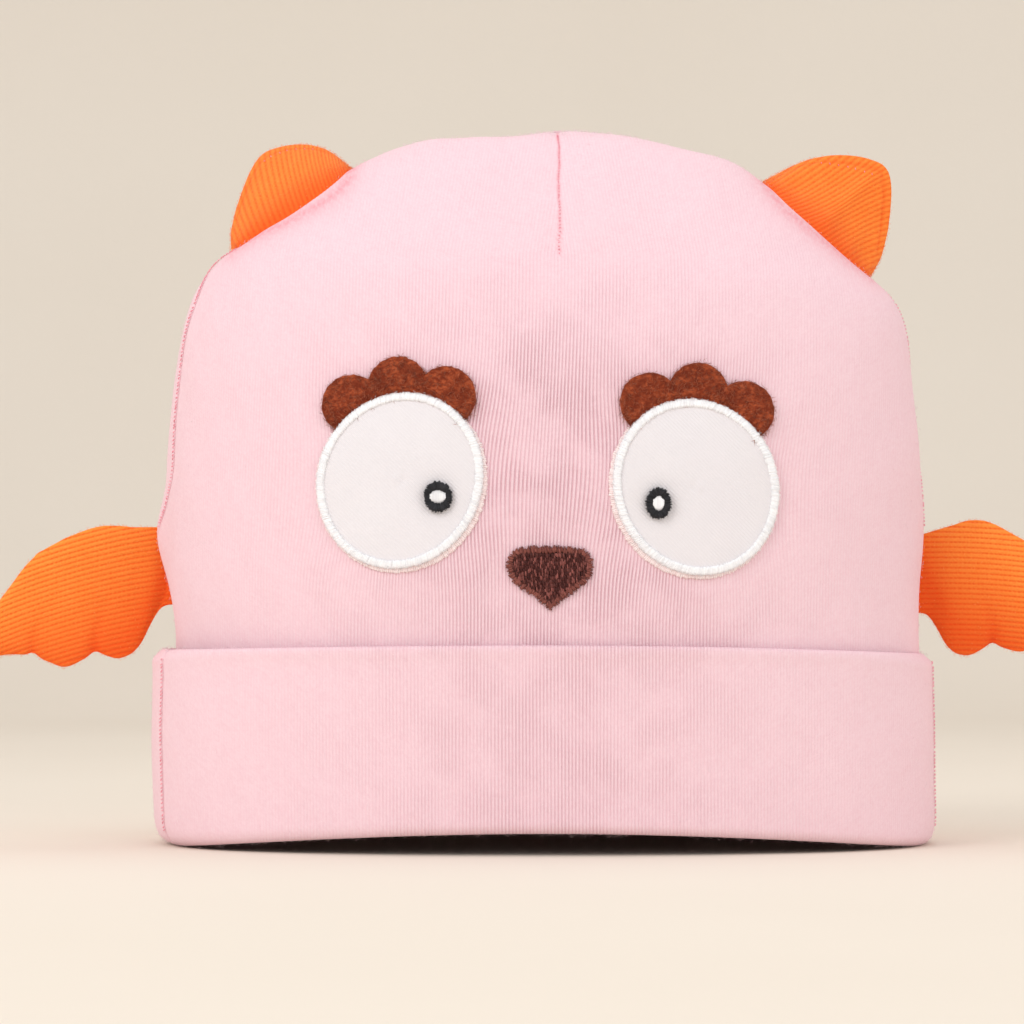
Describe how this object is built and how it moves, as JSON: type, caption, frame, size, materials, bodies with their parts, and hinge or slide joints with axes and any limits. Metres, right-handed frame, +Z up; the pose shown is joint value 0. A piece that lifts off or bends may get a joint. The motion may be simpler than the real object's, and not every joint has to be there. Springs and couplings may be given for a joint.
{
  "type": "baby's knit hat with padded animal ears and wings",
  "caption": "Fine-knit baby hat with a turned-up cuff, padded rib-knit ears and wings, and a sewn-on face with round eyes, felt brows and a small beak.",
  "frame": {"origin": "middle of the hat's box in plan, on the surface that the rim rests on", "axes": "+X to the right of someone who looks at the face, +Y to the back of the hat, +Z up through the crown"},
  "size_m": [0.2491, 0.1042, 0.1497],
  "materials": {
    "jersey": "fine cotton jersey in pale pink, matt, with narrow upright wales",
    "rib_knit": "orange rib knit over soft padding, matt",
    "felt": "brown felt with short mottled fibres",
    "eye_knit": "smooth white knit over thin padding",
    "white_thread": "white satin-stitch thread with a soft shine",
    "black_thread": "black embroidery thread",
    "dark_thread": "dark brown embroidery thread in upright stitches",
    "brown_thread": "brown satin-stitch thread with a soft shine"
  },
  "bodies": {
    "root": {"front_panel": "jersey", "back_panel": "jersey", "ear_left": "rib_knit", "ear_right": "rib_knit", "wing_left": "rib_knit", "wing_right": "rib_knit", "brow_left": "felt", "brow_right": "felt", "eye_patch_left": "eye_knit", "eye_patch_right": "eye_knit", "eye_border_left": "white_thread", "eye_border_right": "white_thread", "pupil_left": "black_thread", "pupil_right": "black_thread", "pupil_centre_left": "white_thread", "pupil_centre_right": "white_thread", "beak_fill": "dark_thread", "beak_border": "brown_thread"}
  },
  "joints": []
}
